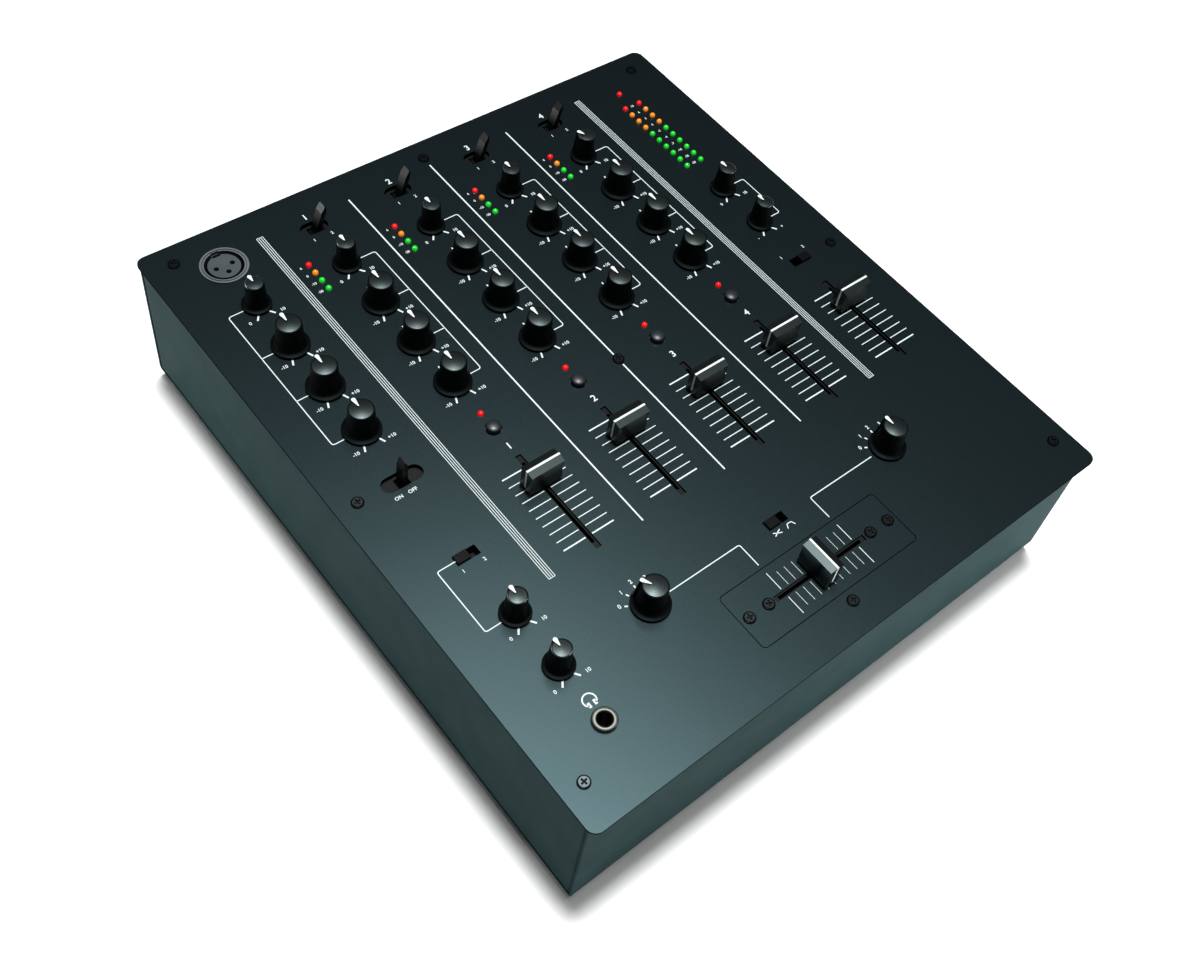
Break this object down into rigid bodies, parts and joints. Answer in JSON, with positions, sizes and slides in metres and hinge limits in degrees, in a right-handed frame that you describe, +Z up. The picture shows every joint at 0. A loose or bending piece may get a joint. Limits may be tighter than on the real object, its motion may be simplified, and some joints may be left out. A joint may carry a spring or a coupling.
{
  "type": "dj mixer",
  "caption": "Tabletop audio mixer: folded steel housing, knobs, line faders, crossfader, levers, slide switches, lit meters, and sockets on the top and rear.",
  "frame": {"origin": "centre of the whole footprint, from the panel's front edge to the ends of the rear sockets, on the surface the feet stand on", "axes": "+X to the user's right, +Y from the user towards the rear sockets, +Z up"},
  "size_m": [0.3182, 0.3658, 0.1033],
  "materials": {
    "panel_paint": "satin powder coat",
    "housing_paint": "satin powder coat",
    "screw_black": "black oxide",
    "socket_metal": "dark satin metal",
    "jack_black": "moulded black",
    "light_red": "lit lens",
    "light_amber": "lit lens",
    "light_green": "lit lens",
    "foot_rubber": "matt",
    "board_green": "lacquered board",
    "fader_steel": "plated",
    "switch_plastic": "moulded black",
    "nickel": "nickel plate",
    "moulding_black": "moulded black",
    "knob_black": "satin moulded black",
    "cap_black": "satin moulded black",
    "lever_black": "satin moulded black",
    "button_black": "satin moulded black",
    "print_white": "screen print"
  },
  "bodies": {
    "mixer": {"top_panel": "panel_paint", "housing": "housing_paint", "crossfader_plate": "panel_paint", "panel_screws": "screw_black", "microphone_socket": "socket_metal", "jack_sockets": "jack_black", "lights_red": "light_red", "lights_amber": "light_amber", "lights_green": "light_green", "feet": "foot_rubber", "control_board": "board_green", "fader_bodies": "fader_steel", "switch_bodies": "switch_plastic", "phono_sockets": "nickel", "rear_mouldings": "moulding_black"},
    "gain_knob_1": {"gain_knob_1": "knob_black"},
    "gain_knob_2": {"gain_knob_2": "knob_black"},
    "gain_knob_3": {"gain_knob_3": "knob_black"},
    "gain_knob_4": {"gain_knob_4": "knob_black"},
    "treble_knob_mic": {"treble_knob_mic": "knob_black"},
    "treble_knob_1": {"treble_knob_1": "knob_black"},
    "treble_knob_2": {"treble_knob_2": "knob_black"},
    "treble_knob_3": {"treble_knob_3": "knob_black"},
    "treble_knob_4": {"treble_knob_4": "knob_black"},
    "mid_knob_mic": {"mid_knob_mic": "knob_black"},
    "mid_knob_1": {"mid_knob_1": "knob_black"},
    "mid_knob_2": {"mid_knob_2": "knob_black"},
    "mid_knob_3": {"mid_knob_3": "knob_black"},
    "mid_knob_4": {"mid_knob_4": "knob_black"},
    "bass_knob_mic": {"bass_knob_mic": "knob_black"},
    "bass_knob_1": {"bass_knob_1": "knob_black"},
    "bass_knob_2": {"bass_knob_2": "knob_black"},
    "bass_knob_3": {"bass_knob_3": "knob_black"},
    "bass_knob_4": {"bass_knob_4": "knob_black"},
    "gain_knob_mic": {"gain_knob_mic": "knob_black"},
    "booth_knob": {"booth_knob": "knob_black"},
    "balance_knob": {"balance_knob": "knob_black"},
    "cue_mix_knob": {"cue_mix_knob": "knob_black"},
    "cue_level_knob": {"cue_level_knob": "knob_black"},
    "assign_knob_left": {"assign_knob_left": "knob_black"},
    "assign_knob_right": {"assign_knob_right": "knob_black"},
    "input_lever_1": {"input_lever_1": "lever_black"},
    "input_lever_2": {"input_lever_2": "lever_black"},
    "input_lever_3": {"input_lever_3": "lever_black"},
    "input_lever_4": {"input_lever_4": "lever_black"},
    "mic_lever": {"mic_lever": "lever_black"},
    "cue_switch": {"cue_switch": "button_black"},
    "mono_switch": {"mono_switch": "button_black"},
    "curve_switch": {"curve_switch": "button_black"},
    "cue_button_1": {"cue_button_1": "button_black"},
    "cue_button_2": {"cue_button_2": "button_black"},
    "cue_button_3": {"cue_button_3": "button_black"},
    "cue_button_4": {"cue_button_4": "button_black"},
    "channel_fader_1": {"channel_fader_1": "cap_black"},
    "channel_fader_2": {"channel_fader_2": "cap_black"},
    "channel_fader_3": {"channel_fader_3": "cap_black"},
    "channel_fader_4": {"channel_fader_4": "cap_black"},
    "master_fader": {"master_fader": "cap_black"},
    "crossfader": {"crossfader": "cap_black"},
    "power_rocker": {"power_rocker": "moulding_black"}
  },
  "joints": [
    {"name": "gain_turn_1", "type": "hinge", "parent": "mixer", "child": "gain_knob_1", "pos_m": [-0.075, 0.1191, 0.0872], "axis": [0, 0, 1], "range_deg": [-150, 150]},
    {"name": "gain_turn_2", "type": "hinge", "parent": "mixer", "child": "gain_knob_2", "pos_m": [-0.025, 0.1191, 0.0872], "axis": [0, 0, 1], "range_deg": [-150, 150]},
    {"name": "gain_turn_3", "type": "hinge", "parent": "mixer", "child": "gain_knob_3", "pos_m": [0.025, 0.1191, 0.0872], "axis": [0, 0, 1], "range_deg": [-150, 150]},
    {"name": "gain_turn_4", "type": "hinge", "parent": "mixer", "child": "gain_knob_4", "pos_m": [0.075, 0.1191, 0.0872], "axis": [0, 0, 1], "range_deg": [-175, 125]},
    {"name": "treble_turn_mic", "type": "hinge", "parent": "mixer", "child": "treble_knob_mic", "pos_m": [-0.125, 0.0891, 0.0872], "axis": [0, 0, 1], "range_deg": [-150, 150]},
    {"name": "treble_turn_1", "type": "hinge", "parent": "mixer", "child": "treble_knob_1", "pos_m": [-0.075, 0.0891, 0.0872], "axis": [0, 0, 1], "range_deg": [-150, 150]},
    {"name": "treble_turn_2", "type": "hinge", "parent": "mixer", "child": "treble_knob_2", "pos_m": [-0.025, 0.0891, 0.0872], "axis": [0, 0, 1], "range_deg": [-150, 150]},
    {"name": "treble_turn_3", "type": "hinge", "parent": "mixer", "child": "treble_knob_3", "pos_m": [0.025, 0.0891, 0.0872], "axis": [0, 0, 1], "range_deg": [-150, 150]},
    {"name": "treble_turn_4", "type": "hinge", "parent": "mixer", "child": "treble_knob_4", "pos_m": [0.075, 0.0891, 0.0872], "axis": [0, 0, 1], "range_deg": [-150, 150]},
    {"name": "mid_turn_mic", "type": "hinge", "parent": "mixer", "child": "mid_knob_mic", "pos_m": [-0.125, 0.0591, 0.0872], "axis": [0, 0, 1], "range_deg": [-150, 150]},
    {"name": "mid_turn_1", "type": "hinge", "parent": "mixer", "child": "mid_knob_1", "pos_m": [-0.075, 0.0591, 0.0872], "axis": [0, 0, 1], "range_deg": [-150, 150]},
    {"name": "mid_turn_2", "type": "hinge", "parent": "mixer", "child": "mid_knob_2", "pos_m": [-0.025, 0.0591, 0.0872], "axis": [0, 0, 1], "range_deg": [-150, 150]},
    {"name": "mid_turn_3", "type": "hinge", "parent": "mixer", "child": "mid_knob_3", "pos_m": [0.025, 0.0591, 0.0872], "axis": [0, 0, 1], "range_deg": [-150, 150]},
    {"name": "mid_turn_4", "type": "hinge", "parent": "mixer", "child": "mid_knob_4", "pos_m": [0.075, 0.0591, 0.0872], "axis": [0, 0, 1], "range_deg": [-150, 150]},
    {"name": "bass_turn_mic", "type": "hinge", "parent": "mixer", "child": "bass_knob_mic", "pos_m": [-0.125, 0.0291, 0.0872], "axis": [0, 0, 1], "range_deg": [-150, 150]},
    {"name": "bass_turn_1", "type": "hinge", "parent": "mixer", "child": "bass_knob_1", "pos_m": [-0.075, 0.0291, 0.0872], "axis": [0, 0, 1], "range_deg": [-150, 150]},
    {"name": "bass_turn_2", "type": "hinge", "parent": "mixer", "child": "bass_knob_2", "pos_m": [-0.025, 0.0291, 0.0872], "axis": [0, 0, 1], "range_deg": [-150, 150]},
    {"name": "bass_turn_3", "type": "hinge", "parent": "mixer", "child": "bass_knob_3", "pos_m": [0.025, 0.0291, 0.0872], "axis": [0, 0, 1], "range_deg": [-150, 150]},
    {"name": "bass_turn_4", "type": "hinge", "parent": "mixer", "child": "bass_knob_4", "pos_m": [0.075, 0.0291, 0.0872], "axis": [0, 0, 1], "range_deg": [-150, 150]},
    {"name": "gain_turn_mic", "type": "hinge", "parent": "mixer", "child": "gain_knob_mic", "pos_m": [-0.125, 0.1191, 0.0872], "axis": [0, 0, 1], "range_deg": [-150, 150]},
    {"name": "booth_turn", "type": "hinge", "parent": "mixer", "child": "booth_knob", "pos_m": [0.125, 0.0591, 0.0872], "axis": [0, 0, 1], "range_deg": [-150, 150]},
    {"name": "balance_turn", "type": "hinge", "parent": "mixer", "child": "balance_knob", "pos_m": [0.125, 0.0291, 0.0872], "axis": [0, 0, 1], "range_deg": [-150, 150]},
    {"name": "cue_mix_turn", "type": "hinge", "parent": "mixer", "child": "cue_mix_knob", "pos_m": [-0.125, -0.0869, 0.0872], "axis": [0, 0, 1], "range_deg": [-150, 150]},
    {"name": "cue_level_turn", "type": "hinge", "parent": "mixer", "child": "cue_level_knob", "pos_m": [-0.125, -0.1169, 0.0872], "axis": [0, 0, 1], "range_deg": [-150, 150]},
    {"name": "assign_turn_left", "type": "hinge", "parent": "mixer", "child": "assign_knob_left", "pos_m": [-0.075, -0.1169, 0.0872], "axis": [0, 0, 1], "range_deg": [-90, 30]},
    {"name": "assign_turn_right", "type": "hinge", "parent": "mixer", "child": "assign_knob_right", "pos_m": [0.075, -0.1169, 0.0872], "axis": [0, 0, 1], "range_deg": [-60, 60]},
    {"name": "input_throw_1", "type": "hinge", "parent": "mixer", "child": "input_lever_1", "pos_m": [-0.075, 0.1491, 0.0812], "axis": [0, 1, 0], "range_deg": [-32, 0]},
    {"name": "input_throw_2", "type": "hinge", "parent": "mixer", "child": "input_lever_2", "pos_m": [-0.025, 0.1491, 0.0812], "axis": [0, 1, 0], "range_deg": [-32, 0]},
    {"name": "input_throw_3", "type": "hinge", "parent": "mixer", "child": "input_lever_3", "pos_m": [0.025, 0.1491, 0.0812], "axis": [0, 1, 0], "range_deg": [-32, 0]},
    {"name": "input_throw_4", "type": "hinge", "parent": "mixer", "child": "input_lever_4", "pos_m": [0.075, 0.1491, 0.0812], "axis": [0, 1, 0], "range_deg": [-32, 0]},
    {"name": "mic_throw", "type": "hinge", "parent": "mixer", "child": "mic_lever", "pos_m": [-0.125, -0.0031, 0.0812], "axis": [0, 1, 0], "range_deg": [-16, 16]},
    {"name": "cue_slide", "type": "slide", "parent": "mixer", "child": "cue_switch", "axis": [1, 0, 0], "range_m": [0, 0.0048]},
    {"name": "mono_slide", "type": "slide", "parent": "mixer", "child": "mono_switch", "axis": [1, 0, 0], "range_m": [-0.0048, 0]},
    {"name": "curve_slide", "type": "slide", "parent": "mixer", "child": "curve_switch", "axis": [1, 0, 0], "range_m": [0, 0.0048]},
    {"name": "cue_press_1", "type": "slide", "parent": "mixer", "child": "cue_button_1", "axis": [0, 0, 1], "range_m": [-0.0012, 0], "stiffness_N_per_m": 600, "springref_m": 0.0006},
    {"name": "cue_press_2", "type": "slide", "parent": "mixer", "child": "cue_button_2", "axis": [0, 0, 1], "range_m": [-0.0012, 0], "stiffness_N_per_m": 600, "springref_m": 0.0006},
    {"name": "cue_press_3", "type": "slide", "parent": "mixer", "child": "cue_button_3", "axis": [0, 0, 1], "range_m": [-0.0012, 0], "stiffness_N_per_m": 600, "springref_m": 0.0006},
    {"name": "cue_press_4", "type": "slide", "parent": "mixer", "child": "cue_button_4", "axis": [0, 0, 1], "range_m": [-0.0012, 0], "stiffness_N_per_m": 600, "springref_m": 0.0006},
    {"name": "channel_slide_1", "type": "slide", "parent": "mixer", "child": "channel_fader_1", "axis": [0, 1, 0], "range_m": [-0.0351, 0.0099]},
    {"name": "channel_slide_2", "type": "slide", "parent": "mixer", "child": "channel_fader_2", "axis": [0, 1, 0], "range_m": [-0.0351, 0.0099]},
    {"name": "channel_slide_3", "type": "slide", "parent": "mixer", "child": "channel_fader_3", "axis": [0, 1, 0], "range_m": [-0.0351, 0.0099]},
    {"name": "channel_slide_4", "type": "slide", "parent": "mixer", "child": "channel_fader_4", "axis": [0, 1, 0], "range_m": [-0.0351, 0.0099]},
    {"name": "master_slide", "type": "slide", "parent": "mixer", "child": "master_fader", "axis": [0, 1, 0], "range_m": [-0.0351, 0.0099]},
    {"name": "crossfader_slide", "type": "slide", "parent": "mixer", "child": "crossfader", "axis": [1, 0, 0], "range_m": [-0.0197, 0.0253]},
    {"name": "power_rock", "type": "hinge", "parent": "mixer", "child": "power_rocker", "pos_m": [0.1074, 0.1719, 0.042], "axis": [1, 0, 0], "range_deg": [0, 18]}
  ]
}
